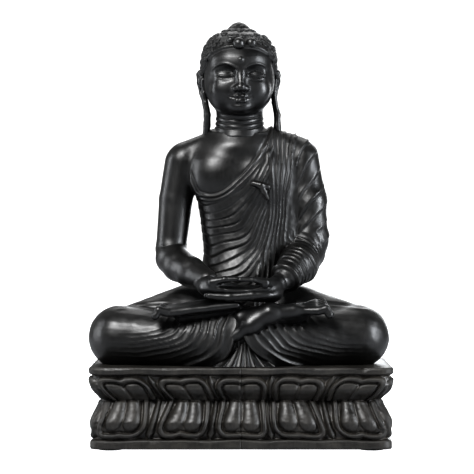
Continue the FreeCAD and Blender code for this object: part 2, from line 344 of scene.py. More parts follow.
def outward(points, faces):
    """Unit normals at the points: the sum of the crossed diagonals of each face around them."""
    p = points[faces]
    crossed = np.cross(p[:, 2] - p[:, 0], p[:, 3] - p[:, 1])
    total = np.stack([np.bincount(faces.ravel(), weights=np.repeat(crossed[:, i], 4), minlength=len(points))
                      for i in range(3)], 1)
    return total / np.maximum(np.linalg.norm(total, axis=1, keepdims=True), 1e-12)


def crest_of(points, faces, scale):
    """How far each point stands above its neighbours' mean, from -1 in hollows to 1 on edges."""
    normal = outward(points, faces)
    height = ((points - neighbour_mean(points, faces)) * normal).sum(1)
    for _ in range(2):
        height = 0.5 * height + 0.5 * neighbour_mean(height, faces)
    return np.tanh(height / scale)


# ---------------------------------------------------------------- meshes
def close_holes(mesh):
    """Fills every open rim, so that a piece cut from a larger skin is shut at its glue joints."""
    shape = bmesh.new()
    shape.from_mesh(mesh)
    bmesh.ops.remove_doubles(shape, verts=shape.verts, dist=0.002 * MM)
    rims = [edge for edge in shape.edges if edge.is_boundary]
    if rims:
        filled = bmesh.ops.holes_fill(shape, edges=rims, sides=0)["faces"]
        for edge in rims:
            edge.smooth = False
        bmesh.ops.triangulate(shape, faces=filled)
    shape.to_mesh(mesh)
    shape.free()


fine_crest = 0.03


def mesh_piece(node, points, faces, material, crest_scale=0.05, name=None,
               centre_x=middle_x):
    """A finished piece in place of a frame node, from points in millimetres and four-sided faces.

    crest_scale is the size of curvature that counts as a full edge or hollow.
    """
    name = name or "carved_" + node
    mesh = bpy.data.meshes.new(name)
    mesh.vertices.add(len(points))
    mesh.vertices.foreach_set("co", ((points + np.array([centre_x, 0.0, 0.0])) * MM).ravel())
    mesh.loops.add(faces.size)
    mesh.loops.foreach_set("vertex_index", faces.ravel().astype(np.int32))
    mesh.polygons.add(len(faces))
    mesh.polygons.foreach_set("loop_start", np.arange(0, faces.size, 4, dtype=np.int32))
    mesh.polygons.foreach_set("use_smooth", np.ones(len(faces), bool))
    mesh.update(calc_edges=True)
    mesh.validate()
    crest = crest_of(points, faces, crest_scale).astype(np.float32)
    mesh.attributes.new("crest", "FLOAT", "POINT").data.foreach_set("value", crest)
    close_holes(mesh)
    piece = bpy.data.objects.new(name, mesh)
    bpy.context.scene.collection.objects.link(piece)
    mesh.materials.append(material)
    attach(piece, "root")
    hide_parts(node)


def split_pieces(points, faces, owner, nodes, material):
    """One closed piece for each owner number of a shared skin, so that neighbours meet point for point."""
    for number, node in enumerate(nodes):
        own = faces[owner == number]
        used, local = np.unique(own, return_inverse=True)
        mesh_piece(node, points[used], local.reshape(own.shape), material)


def small_piece(node, block, depth, size, seed, turned=False):
    """A small block's own skin, made slightly uneven; turned is for pieces that turn with the head."""
    points, faces = skin_of(block)
    points = points + outward(points, faces) * (depth * wobble(points, size, seed))[:, None]
    mesh_piece(node, turn_head(points) if turned else points, faces, figure_wood, fine_crest)


def grid_faces(rows, columns, wrap=False):
    """The four-sided faces of a grid of points stored row by row; wrap joins the last column to the first."""
    i, j = np.meshgrid(np.arange(rows - 1), np.arange(columns if wrap else columns - 1), indexing="ij")
    k = (j + 1) % columns
    square = [i * columns + j, i * columns + k, (i + 1) * columns + k, (i + 1) * columns + j]
    return np.stack(square, -1).reshape(-1, 4)


# ---------------------------------------------------------------- finishes
class Nodes:
    """A cleared node tree, and short ways to add nodes and wire them."""

    def __init__(self, tree):
        self.tree = tree
        tree.nodes.clear()

    def wire(self, target, wires):
        """Links each named socket to its source, or sets it to its value."""
        for socket, source in wires.items():
            if isinstance(source, bpy.types.NodeSocket):
                self.tree.links.new(source, target.inputs[socket])
            else:
                target.inputs[socket].default_value = source

    def node(self, kind, wires=(), **settings):
        """A new node with its sockets wired and its settings made."""
        made = self.tree.nodes.new(kind)
        for key, value in settings.items():
            setattr(made, key, value)
        self.wire(made, dict(wires))
        return made


class Finish(Nodes):
    """A node material: its surface shader, and the nodes that the finishes share."""

    def __init__(self, name):
        self.material = bpy.data.materials.new(name)
        self.material.use_nodes = True
        super().__init__(self.material.node_tree)
        self.shader = self.node("ShaderNodeBsdfPrincipled")
        self.node("ShaderNodeOutputMaterial", {"Surface": self.shader.outputs["BSDF"]})

    def place(self):
        """The piece's own coordinates."""
        return self.node("ShaderNodeTexCoord").outputs["Object"]

    def noise(self, scale, detail, stretch=None, **more):
        """Noise on the piece's own coordinates, or on coordinates stretched along each axis."""
        place = self.place()
        if stretch:
            place = self.node("ShaderNodeMapping", {"Vector": place, "Scale": stretch}).outputs["Vector"]
        wires = {"Vector": place, "Scale": scale, "Detail": detail, **more}
        return self.node("ShaderNodeTexNoise", wires).outputs["Fac"]

    def mix(self, share, a, b):
        """Two values, mixed by a share."""
        return self.node("ShaderNodeMix", {0: share, 2: a, 3: b}).outputs[0]

    def span(self, value, low, high, to_low, to_high):
        """Value moved from one range to another, and held inside it."""
        ends = {"From Min": low, "From Max": high, "To Min": to_low, "To Max": to_high}
        return self.node("ShaderNodeMapRange", {"Value": value, **ends}).outputs["Result"]

    def ramp(self, source, stops):
        """A colour ramp over (place, colour) stops, a number standing for a grey."""
        made = self.node("ShaderNodeValToRGB", {"Fac": source})
        for element, (place, colour) in zip(made.color_ramp.elements, stops):
            element.position = place
            element.color = (*np.broadcast_to(colour, 3), 1.0)
        return made.outputs["Color"]

    def bump(self, strength, distance, height, **more):
        """A normal that leans as if the surface rose by height times distance."""
        wires = {"Strength": strength, "Distance": distance, "Height": height, **more}
        return self.node("ShaderNodeBump", wires).outputs["Normal"]

    def done(self, colour, rough, normal, **more):
        """The material, with its shader wired."""
        self.wire(self.shader, {"Base Color": colour, "Roughness": rough, "Normal": normal, **more})
        return self.material


def carved_wood(name, deep, mid, worn, rough):
    """Stained close-grained hardwood: streaks along Z, slow mottling, rubbed edges and dull hollows.

    The colour runs from deep to mid over stretched noise, then towards worn on the crests of the
    carving. Roughness follows the same noise and rises in the hollows.
    """
    wood = Finish(name)
    streaks = wood.noise(1.0, 4.0, (1500.0, 1500.0, 95.0), Roughness=0.6)
    patches = wood.noise(55.0, 3.0, Distortion=0.6)
    tool_marks = wood.noise(260.0, 2.0)
    crest = wood.node("ShaderNodeAttribute", attribute_name="crest").outputs["Fac"]
    mixed = wood.mix(0.5, streaks, patches)
    base = wood.ramp(mixed, [(0.38, deep), (0.62, mid)])
    edge = wood.span(crest, 0.15, 0.95, 0.0, 0.75)
    rubbed = wood.node("ShaderNodeMath", {0: edge, 1: patches}, operation="MULTIPLY").outputs[0]
    colour = wood.node("ShaderNodeMix", {0: rubbed, 6: base, 7: (*worn, 1.0)}, data_type="RGBA").outputs[2]
    hollow = wood.span(crest, -0.9, 0.1, 0.22, 0.0)
    grain_rough = wood.span(mixed, 0.3, 0.7, rough - 0.10, rough + 0.10)
    total = wood.node("ShaderNodeMath", {0: grain_rough, 1: hollow}, operation="ADD").outputs[0]
    fibres = wood.bump(0.25, 0.00012, streaks)
    return wood.done(colour, total, wood.bump(0.12, 0.0005, tool_marks, Normal=fibres))


def plain_wood(name, deep, mid, rough):
    """Unstained or thinly stained joinery wood: rings of distorted bands with fine fibres over them."""
    wood = Finish(name)
    fibres = wood.noise(1.0, 5.0, (900.0, 900.0, 60.0))
    bands = {"Vector": wood.place(), "Scale": 120.0, "Distortion": 6.0, "Detail": 2.0}
    mixed = wood.mix(0.4, fibres, wood.node("ShaderNodeTexWave", bands).outputs["Fac"])
    return wood.done(wood.ramp(mixed, [(0.2, deep), (0.8, mid)]),
                     wood.ramp(mixed, [(0.2, rough + 0.1), (0.8, rough - 0.05)]),
                     wood.bump(0.3, 0.0002, mixed))


def screw_metal(name, deep, mid, rough):
    """Turned screw metal: fine scratches of stretched noise and dull patches."""
    metal = Finish(name)
    lines = metal.noise(1.0, 3.0, (400.0, 400.0, 3000.0))
    patches = metal.noise(300.0, 2.0)
    return metal.done(metal.ramp(patches, [(0.3, deep), (0.7, mid)]),
                      metal.ramp(lines, [(0.3, rough - 0.08), (0.7, rough + 0.12)]),
                      metal.bump(0.2, 0.0001, lines), Metallic=1.0)


def pressed_felt(name, deep, mid):
    """Wool felt: short matted fibres from two sizes of noise, rough, with a soft sheen."""
    wool = Finish(name)
    fibres = wool.noise(2600.0, 4.0, Distortion=2.0)
    mixed = wool.mix(0.5, fibres, wool.noise(420.0, 2.0))
    return wool.done(wool.ramp(mixed, [(0.35, deep), (0.65, mid)]),
                     wool.ramp(mixed, [(0.3, 0.98), (0.7, 0.85)]),
                     wool.bump(0.6, 0.0004, fibres), **{"Sheen Weight": 0.4})


figure_wood = carved_wood("figure_wood", (0.0014, 0.0015, 0.0016), (0.0038, 0.0038, 0.0038),
                          (0.011, 0.011, 0.0105), 0.385)
robe_wood = carved_wood("robe_wood", (0.0015, 0.0015, 0.0014), (0.0050, 0.0048, 0.0044),
                        (0.0185, 0.0172, 0.0157), 0.40)
pedestal_wood = carved_wood("pedestal_wood", (0.0062, 0.0056, 0.0048), (0.0245, 0.0222, 0.0188),
                            (0.068, 0.060, 0.051), 0.40)

dowel_wood = plain_wood("dowel_wood", (0.36, 0.23, 0.12), (0.62, 0.45, 0.27), 0.6)
board_wood = plain_wood("board_wood", (0.05, 0.03, 0.02), (0.15, 0.095, 0.06), 0.55)
brass_screw = screw_metal("brass_screw", (0.50, 0.34, 0.13), (0.78, 0.60, 0.30), 0.32)
steel_screw = screw_metal("steel_screw", (0.42, 0.43, 0.44), (0.66, 0.67, 0.68), 0.35)
felt = pressed_felt("felt", (0.010, 0.014, 0.011), (0.045, 0.055, 0.045))


# ---------------------------------------------------------------- the pedestal
plinth_top = 7.4
waist_z = 34.8
upper_tip_z = 51.6
lower_tip_z = 8.5
seam_groove = 0.6
rim_width = 3.6
corner_radius = 7.5
edge_round = 0.6
# The hollow: half sizes of its inside and of the ledge for the base board, and the heights of both.
cavity_x, cavity_y, ceiling = 68.0, 32.0, 48.0
rebate_x, rebate_y, ledge_z = 74.0, 38.0, pad_top + 4.0
# How far the flat underside stands in from the widest outline, across and in depth.
under_x, under_y = 12.0, 8.0


def base_inset(z):
    """How far the uncut pedestal stands in from its widest outline, by height."""
    knots = np.array([(1.2, 2.0), (1.7, 1.5), (6.6, 1.7), (7.3, 2.4), (7.8, 4.0), (11.0, 3.2),
                      (16.0, 2.9), (20.0, 3.3), (23.0, 4.4), (26.0, 5.9), (29.0, 7.6), (32.0, 9.2),
                      (34.8, 10.2), (37.0, 8.6), (40.0, 5.6), (43.0, 3.4), (46.0, 2.5), (49.0, 2.2),
                      (52.2, 2.3), (52.7, 3.2), (53.2, 2.0), (54.0, 0.9), (57.0, 0.7), (58.4, 1.6)])
    return np.interp(z, knots[:, 0], knots[:, 1])


def petal(p, up, reach, half, notch, tilt, drops):
    """Relief of one lotus petal in mm, and each point's distance inside its outline.

    p is across from the middle line and up the distance from the waist. The outline is a round-cornered
    tongue, narrower at the waist and dented at the tip; tilt makes one corner rounder than the other. Inside
    it are a half-round rim, a groove, and two swellings: full drops on the lower row, or two halves of a
    cushion on the upper one.
    """
    corner = 8.0 + 1.5 * tilt * np.sign(p)
    half = half * (0.84 + 0.16 * np.sin(0.5 * np.pi * np.clip(up / (0.75 * reach), 0, 1)))
    beside = np.abs(p) - (half - corner)
    beyond = up + notch * bell(p, 3.0) - (reach - corner)
    edge = (corner - np.hypot(np.maximum(beside, 0), np.maximum(beyond, 0))
            - np.minimum(np.maximum(beside, beyond), 0))
    rim = 2.4 * np.sqrt(np.clip(1 - np.abs(edge / (0.5 * rim_width) - 1) ** 2.4, 0, 1))
    if drops:
        room = np.maximum(half - rim_width - 1.0, 1.0)
        share = np.clip(up / reach, 0, 1)
        side = (np.abs(p) - (0.42 + 0.12 * share) * room) / ((0.44 + 0.14 * share) * room)
        end = np.maximum(up - 0.48 * reach, 0) / (0.33 * reach)
        body = 0.1 + 3.6 * np.clip(1 - side ** 2 - end ** 2, 0, 1) ** 0.6
    else:
        rise = np.clip((edge - 4.2) / 6.5, 0, 1)
        body = 0.1 + 2.5 * np.sqrt(rise * (2 - rise)) - 1.3 * bell(p, 1.2) - 1.0 * bell(p, 4.0) * up / reach
    groove = -0.9 * bell(edge - 4.1, 0.55)
    return np.where(edge < rim_width, rim, groove + body * smooth_step(edge, 3.9, 4.8)), edge


def petal_row(u, up, reach, centres, draws, half, drops, seed):
    """A row of petals, the ground cut back between them, and a pointed leaf in each gap.

    Each petal's middle line stands at its centre at the tip and is drawn aside by its own amount at the
    waist.
    """
    chance = np.random.default_rng(seed)
    open_share = 1 - up / reach
    lift = np.zeros_like(u)
    inside = np.full_like(u, -9.0)
    middles = [centre + draw * open_share for centre, draw in zip(centres, draws)]
    for middle in middles:
        shift, size, notch = chance.uniform(-0.7, 0.7), chance.uniform(0.96, 1.04), chance.uniform(0.3, 1.5)
        one, edge = petal(u - middle - shift, up, reach, half * size, notch, chance.uniform(-1, 1), drops)
        lift = np.where(edge > 0, one, lift)
        inside = np.maximum(inside, edge)
    ground = -2.4 * smooth_step(-inside, 0.0, 0.7)
    leaf = np.zeros_like(u)
    pitch = centres[1] - centres[0]
    outer = [middles[0] - pitch] + middles + [middles[-1] + pitch]
    for left, right in zip(outer[:-1], outer[1:]):
        wide = (1.6 + 1.7 * up / reach) * np.clip((reach + 1.0 - up) / 4.5, 0, 1) ** 0.8
        across = np.abs(u - 0.5 * (left + right)) / np.maximum(wide, 0.05)
        leaf = np.maximum(leaf, 3.4 * np.clip(1.0 - across, 0, 1) ** 0.5)
    return np.where(inside > 0, lift, ground + leaf * smooth_step(-inside, 0.2, 0.9))


def lotus_relief(u, z, face, seed):
    """The carving of one face: 5 petals a row on the long faces and 3 on the short ones."""
    long_face = face in ("front", "back")
    pitch, count = (0.2 * 2 * half_width, 5) if long_face else (0.334 * 2 * half_depth, 3)
    half = 0.425 * pitch
    centres = [pitch * (i - (count - 1) / 2) for i in range(count)]
    if long_face:
        high_draws, low_draws = (12.0, 10.0, 1.5, -5.0, -11.0), (6.5, 7.2, 0.5, -7.5, -8.2)
    else:
        high_draws, low_draws = (7.0, 0.0, -7.0), (5.0, 0.0, -5.0)
    places = np.stack([u, z, np.full_like(u, seed * 57.0)], -1)
    u, z = u + 0.5 * wobble(places, 24.0, seed + 3), z + 0.45 * wobble(places, 28.0, seed + 4)
    high_up, low_up = np.maximum(z - waist_z, 0), np.maximum(waist_z - z, 0)
    high_row = petal_row(u, high_up, upper_tip_z - waist_z, centres, high_draws, half, False, seed)
    low_row = petal_row(u, low_up, waist_z - lower_tip_z, centres, low_draws, half * 0.97, True, seed + 70)
    relief = np.where(z > waist_z, high_row, low_row)
    shown = smooth_step(z, plinth_top + 0.3, plinth_top + 1.0)
    shown = shown * (1 - smooth_step(z, upper_tip_z + 0.4, upper_tip_z + 1.2))
    relief = relief * shown - 1.0 * bell(z - waist_z, 0.6) + base_inset(places[..., 1]) - base_inset(z)
    hand_cut = (0.3 * wobble(places, 21.0, seed) + 0.12 * wobble(places, 7.0, seed + 1)
                + 0.05 * wobble(places, 2.6, seed + 2))
    chip = -1.6 * bell(u - 0.785 * half_width, 5.0) * bell(z - slab_top, 2.2) if face == "front" else 0.0
    return relief + hand_cut + chip


def pedestal_half(side, node):
    """One half of the pedestal, as a grid that is closed at the seam.

    Columns go round the outline. Rows go from the top's middle over the carved wall, under the plinth and up
    inside the hollow. Each row is a rounded rectangle of its own half sizes; the wall rows are pushed out by
    the carving.
    """
    straight = np.linspace(0, 1, 200)
    short = np.linspace(0, 1, 150)[1:]
    turn = np.linspace(0, 1, 12)[1:]
    column_t = np.concatenate([straight, turn, short, turn, straight[1:]])
    counts = [len(straight), len(turn), len(short), len(turn), len(straight) - 1]
    column_part = np.repeat(np.arange(5), counts)

    inset_top = float(base_inset(slab_top))
    rows = []
    for share in (0.0, 0.3, 0.6, 0.85, 0.96, 0.99):
        rows.append((half_width - half_depth + share * (half_depth - inset_top - edge_round),
                     share * (half_depth - inset_top - edge_round), slab_top, 0))
    wall_z = np.concatenate([np.linspace(slab_top, 53.4, 12), np.linspace(53.0, plinth_top - 0.6, 104),
                             np.linspace(plinth_top - 1.1, pad_top, 9)])
    for z in wall_z:
        inset = float(base_inset(z))
        rows.append((half_width - inset, half_depth - inset, z, 1))
    rows += [(half_width - under_x, half_depth - under_y, pad_top, 0), (rebate_x, rebate_y, pad_top, 0),
             (rebate_x, rebate_y, ledge_z, 0), (cavity_x, cavity_y, ledge_z, 0),
             (cavity_x, cavity_y, ceiling, 0), (cavity_x - cavity_y, 0.0, ceiling, 0)]
    rows = np.array(rows)
    hx, hy, z = rows[:, 0:1], rows[:, 1:2], rows[:, 2:3] + 0 * column_t[None, :]
    radius = np.where(rows[:, 3:4] > 0, corner_radius, np.minimum(corner_radius, 0.5 * hy))
    t, part = column_t[None, :], column_part[None, :]

    corner_x, corner_y = hx - radius, np.maximum(hy - radius, 0)
    angle = np.where(part == 1, -0.5 * np.pi * (1 - t), 0.5 * np.pi * t)
    x = np.select([part == 0, part == 2, part == 4], [corner_x * t, hx + 0 * t, corner_x * (1 - t)],
                  corner_x + radius * np.cos(angle))
    y = np.select([part == 0, part == 2, part == 4], [-hy + 0 * t, corner_y * (2 * t - 1), hy + 0 * t],
                  np.where(part == 1, -corner_y, corner_y) + radius * np.sin(angle))
    out_x = np.select([part == 0, part == 2, part == 4], [0 * t, 1 + 0 * t, 0 * t], np.cos(angle))
    out_y = np.select([part == 0, part == 2, part == 4], [-1 + 0 * t, 0 * t, 1 + 0 * t], np.sin(angle))

    x_side = x * side
    front = lotus_relief(x_side, z, "front", 3)
    back = lotus_relief(x_side, z, "back", 5)
    flank = lotus_relief(y, z, "flank", 8 + side)
    share_flank = np.select([part == 1, part == 2, part == 3], [t + 0 * x, 1 + 0 * x, 1 - t + 0 * x], 0 * x)
    long_side = np.where(part <= 1, front, back)
    relief = (long_side * (1 - share_flank) + 0.7 * flank * share_flank) * rows[:, 3:4]
    at_seam = bell(x, 0.45) * rows[:, 3:4]
    relief = relief - seam_groove * at_seam
    points = np.stack([(x + out_x * relief) * side, y + out_y * relief, z], -1)
    faces = grid_faces(len(rows), len(column_t))
    if side < 0:
        faces = faces[:, ::-1]
    mesh_piece(node, points.reshape(-1, 3), faces, pedestal_wood, 0.06, centre_x=0.0)


# ---------------------------------------------------------------- the figure's forms
def torso_parts():
    """The trunk's level rings, the slopes of the shoulders, the chest, and the cloth under the left arm."""
    trunk = column([(97, 31, 34, 26, 24), (108, 29.5, 34, 25.5, 23.5), (118, 27.5, 35, 24.5, 21.5),
                    (128, 25.5, 35, 23, 19.5), (140, 24.8, 35, 21.5, 18.5), (152, 26.2, 36, 21.5, 19),
                    (164, 27.4, 37, 22.5, 20.5), (176, 29.6, 38, 23.5, 22), (186, 33.4, 38, 23.5, 22),
                    (196, 36, 37, 22.5, 21), (205, 33, 35, 21, 18.5), (212, 28, 31, 19, 15.5),
                    (218, 22, 25, 17.5, 14), (223, 19, 20, 17, 14)], 2.2)
    slopes = [limb((-10, trunk_y + 1, 218.0), (-38, trunk_y + 1, 206.5), 11.0, 11.6),
              limb((12, trunk_y + 1, 218.0), (37, trunk_y + 1, 209.5), 11.5, 12.6)]
    chest = [egg((-15, trunk_y - 11, 194), (18, 13.5, 18)), egg((17, trunk_y - 12, 191), (17, 12.5, 17))]
    collar = egg((0, trunk_y - 1, 213), (24.5, 20.5, 12.0))
    belly = egg((0, trunk_y - 11, 118), (22, 13.5, 17))
    drape = limb((33, trunk_y - 2, 198), (34, trunk_y - 5, 146), 13.5, 10.5)
    return [(trunk, 1.0), (slopes[0], 9.0), (slopes[1], 9.0), (chest[0], 9.0), (chest[1], 9.0), (collar, 6.0),
            (belly, 8.0), (drape, 6.0)]


right_arm_path = [(-41.0, trunk_y + 1, 202.5), (-45.8, trunk_y, 176.0), (-49.2, trunk_y - 3, 141.0)]
right_arm_sizes = [12.9, 12.2, 10.9]
right_fore_path = [(-49.0, trunk_y - 4, 139.5), (-48.2, trunk_y - 8, 133.5), (-43.6, -1.5, 128.8),
                   (-34.5, -12.5, 124.2), (-22.5, -28.5, 118.8)]
right_fore_sizes = [11.0, 11.8, 11.8, 10.9, 7.6]
left_arm_path = [(43.5, trunk_y + 1, 205.0), (48.5, trunk_y, 176.0), (51.5, trunk_y - 2, 147.0)]
left_arm_sizes = [14.0, 13.2, 12.6]
left_fore_path = [(51.0, trunk_y - 3, 147.0), (48.5, trunk_y - 5, 138.0), (43.0, -4.0, 129.5),
                  (34.8, -16.8, 121.8)]
left_fore_sizes = [12.4, 12.4, 12.8, 9.8]
left_wrist_path = [(32.0, -20.0, 118.6), (24.0, -28.0, 114.4)]
left_wrist_sizes = [6.8, 6.0]


def arm_parts():
    """The bare right arm, and the left arm in its sleeve with the wrist that leaves it.

    Owners are 1 and 3 for the right arm above and below the elbow, 2 and 4 for the left one.
    """
    return (chain(right_arm_path, right_arm_sizes, (3.5, 1.0), 1)
            + chain(left_arm_path, left_arm_sizes, 5.5, 2)
            + chain(right_fore_path, right_fore_sizes, (2.5, 1.6, 1.6, 1.6), 3)
            + chain(left_fore_path, left_fore_sizes, 3.0, 4)
            + chain(left_wrist_path, left_wrist_sizes, 1.0, 4))


tuck_bars = chain([(10.2, -12.0, 187.4), (15.5, -13.0, 186.0), (20.8, -11.8, 184.8)], [1.1, 1.6, 1.2], 1.0)
tuck_bars += chain([(15.8, -12.9, 185.8), (18.2, -12.4, 181.0), (20.8, -11.6, 176.2)], [1.6, 1.4, 0.7], 1.0)


def gap_to(parts, points):
    """The distance from each point to the nearest of some parts."""
    return np.min([form[0](*points.T) for form, *_ in parts], axis=0)


# The robe's upper edge over the chest and over the back, as heights by X.
chest_hem = [(-38, 205), (-34, 193), (-30.5, 184.6), (-23.5, 180.2), (-12.1, 182), (-2.1, 189.9),
             (9.4, 202.1), (16.5, 213), (21, 223), (25, 240)]
back_hem = [(-38, 198), (-30, 196), (-10, 206), (8, 218), (18, 226), (25, 240)]
# The sides of the pleated band over the left shoulder, as X by height.
band_inner = [(97, 9), (118, 12), (135, 15), (150, 18.5), (170, 21), (190, 21.5), (205, 20), (214, 20),
              (224, 22), (232, 24)]
band_outer = [(97, 28), (118, 30.5), (140, 32), (160, 33), (180, 34.5), (200, 37), (212, 39), (224, 41),
              (232, 42)]
# How far the folds of the left upper sleeve rise or fall, by X.
sleeve_fall = [(24, -66), (30, -46), (34, -31), (38, -19), (42, -7), (45, 0), (53, 12), (60, 21), (68, 33)]


def level_of_fold(x, z):
    """The height at which the chest fold through each point reaches the right flank.

    The top fold follows the hem; the bottom ones stay level and then climb the last third as a power of X.
    Folds between them mix the two climbs, so the level is found by a few rounds of substitution.
    """
    level = z
    for _ in range(8):
        low = smooth_step(184.0 - level, 0.0, 46.0)
        hem_climb = np.maximum(curve_through(x, chest_hem) - 180.2, 0.0) * (x > -23.5)
        deep_climb = 66.0 * np.clip((x + 27.0) / 55.4, 0, 1.2) ** 3.6
        level = 0.5 * level + 0.5 * (z - (1 - low) * hem_climb - low * deep_climb)
    return level


def body_relief(points):
    """The carving of the trunk and arms: the robe's thickness, its rolled hem and the families of folds.

    Each family is a phase whose whole numbers are crest lines, given to lapped() on the chest and the left
    sleeve and to ply() on the pleated band and the elbow's bend, times a mask of where it lies.
    """
    x, y, z = points.T
    gap_trunk = gap_to(torso_parts(), points)
    gap_right, gap_left_arm, gap_left_fore = (
        gap_to([part for part in arm_parts() if part[2] in owners], points)
        for owners in ((1, 3), (2,), (4,)))
    bare = smooth_step(gap_trunk - gap_right, -2.0, 1.0) * (x < 0)
    behind = smooth_step(y, trunk_y + 1, trunk_y + 9)

    step = 0.5
    hem = {}
    for name, knots in (("chest", chest_hem), ("back", back_hem)):
        height = curve_through(x, knots)
        slope = (curve_through(x + step, knots) - curve_through(x - step, knots)) / (2 * step)
        hem[name] = (z - height) / np.sqrt(1 + slope ** 2)
    above = hem["chest"] * (1 - behind) + hem["back"] * behind
    cover = smooth_step(-above, -0.3, 0.9) * (1 - bare)
    relief = 0.8 * cover
    relief += (1 - bare) * (0.7 * bell(above + 1.3, 0.75) - 0.4 * bell(above - 0.3, 0.6))
    relief += cover * (0.55 * bell(above + 4.2, 0.7) - 0.45 * bell(above + 2.9, 0.5))

    inner, outer = curve_through(z, band_inner), curve_through(z, band_outer)
    on_band = smooth_step(x, inner - 0.8, inner + 1.2) * (1 - smooth_step(x, outer - 0.5, outer + 2.0))
    left_arm = smooth_step(gap_trunk - gap_left_arm, -1.5, 2.5) * (x > 0)
    left_fore = smooth_step(np.minimum(gap_trunk, gap_left_arm) - gap_left_fore, -1.5, 1.0) * (x > 0)
    on_band = on_band * (1 - left_fore)

    level = np.where(behind > 0.5, z - 0.63 * np.clip(x + 32, 0, 90), level_of_fold(x, z))
    across = (180.2 - level) / 6.4 + 0.42 * wobble(points, 36.0, 11)
    on_trunk = cover * smooth_step(-above, 4.5, 7.5) * (1 - on_band) * (1 - left_arm) * (1 - left_fore)
    uneven = (0.75 + 0.25 * np.cos(1.9 * across + 0.05 * x)) * (1 - 0.35 * smooth_step(x, 8, 20))
    uneven = uneven * (1 - 0.62 * smooth_step(-x, 2, 26))
    across_foot = across - np.round(across)
    folds = (1.05 * lapped(across, 0.2) - 0.55 * bell(across_foot - 0.04, 0.07)) * (1 - 0.45 * behind)
    relief += folds * on_trunk * uneven * (x < outer + 1)

    pleats = 5.0 * (x - inner) / (outer - inner) + 0.28 * wobble(points, 30.0, 12)
    relief += (1.5 * ply(pleats, 0.1) * (0.8 + 0.3 * np.cos(2.6 * pleats)) + 0.6) * on_band * cover

    angle = np.arctan2(x - np.interp(z, [147, 176, 207], [51.5, 48.5, 43.5]), trunk_y - y)
    slant = (curve_through(x, sleeve_fall) - z) / 15.0 + 0.2 * wobble(points, 38.0, 13)
    outside = smooth_step(np.abs(angle), 0.9, 1.6)
    swags = 2.0 * lapped(slant, 0.18) - 0.5 * bell(slant - np.round(slant) - 0.03, 0.05)
    swags = swags * (0.75 + 0.25 * np.cos(2.3 * slant)) * (1 - 0.8 * outside)
    at_back = smooth_step(np.abs(angle), 2.2, 2.9)
    swags = swags * (1 - at_back) + 0.6 * at_back
    relief += swags * left_arm * (1 - left_fore) * smooth_step(z, 132, 146) * cover
    bend = np.sqrt((x - 39) ** 2 + (z - 146) ** 2 + 0.3 * (y + 2) ** 2)
    creases = ply(0.5 * (x + z) / 2.9 + 0.5 * wobble(points, 11.0, 14))
    relief += 0.8 * bell(bend, 8.0) * creases * (y < trunk_y)

    start, end = np.array([51.0, trunk_y - 5, 139.0]), np.array([35.0, -16.5, 122.0])
    run = (end - start) / np.linalg.norm(end - start)
    along = (points - start) @ run
    bow = 0.10 * (z - 131) + 0.004 * (z - 131) ** 2
    rings = (along + bow) / 3.2 + 0.26 * wobble(points, 21.0, 15)
    on_sleeve = left_fore * smooth_step(along, -9, 0) * (1 - smooth_step(along, 37.5, 39.0))
    on_sleeve = on_sleeve * (1 - 0.6 * smooth_step(x, 50, 59))
    relief += 0.75 * lapped(rings, 0.25) * on_sleeve * (0.7 + 0.3 * np.cos(2.1 * rings))
    relief += 0.9 * bell(along - 37.8, 1.3) * left_fore - 0.7 * smooth_step(along, 39.2, 40.2) * left_fore

    at_tuck = smooth_step(-gap_to(tuck_bars, points), -1.5, 0.2)
    relief = relief * (1 - at_tuck) + 0.9 * at_tuck
    elbow_line = bell(z - elbow_z - 1.2 * np.sin(x * 0.25), 0.4)
    relief -= 0.2 * elbow_line * (x < -38) * (gap_right < 2.0)
    clothed = np.maximum(cover, np.maximum(left_arm, left_fore))
    relief += (0.03 + 0.10 * clothed) * wobble(points, 16.0, 16)
    relief += (0.01 + 0.05 * clothed) * wobble(points, 5.5, 17)
    return relief


def build_body():
    """The trunk and both arms as one skin, carved and then cut into its five glued blocks."""
    block = Block((-66, -40, 96), (70, trunk_y + 28, 232), 0.68)
    block.add_all(torso_parts() + arm_parts() + tuck_bars)
    points, faces = skin_of(block)
    points = points + outward(points, faces) * body_relief(points)[:, None]
    centres = points[faces].mean(1)
    owner = block.nearest_owner(centres)
    upper = centres[:, 2] > elbow_z
    for above, below in ((1, 3), (2, 4)):
        owner = np.where(np.isin(owner, (above, below)), np.where(upper, above, below), owner)
    nodes = ["torso_block", "right_upper_arm", "left_upper_arm", "right_forearm", "left_forearm"]
    split_pieces(points, faces, owner, nodes, robe_wood)


def lap_parts():
    """Thighs behind, shins in front of them, round knees, and the seat behind the trunk."""
    parts = []
    for side, lift in ((-1, 0.0), (1, 1.5)):
        parts.append((limb((side * 22, 13, 98 + lift), (side * 84, -2, 76.3 + 1.5 * lift), 21.5, 20.5), 6.0))
        parts.append((limb((side * 85.0, -11, 78.0), (side * 18, -27, 74.0), 21.0, 18.0), 3.0))
        parts.append((egg((side * 86.0, -9, 76.8 + 0.4 * lift), (21.0, 23.5, 21.2)), 5.0))
    parts.append((egg((0, 15, 78), (66, 33, 27)), 8.0))
    parts.append((egg((-2, -22.5, 79), (42, 21.5, 22)), 8.0))
    return parts


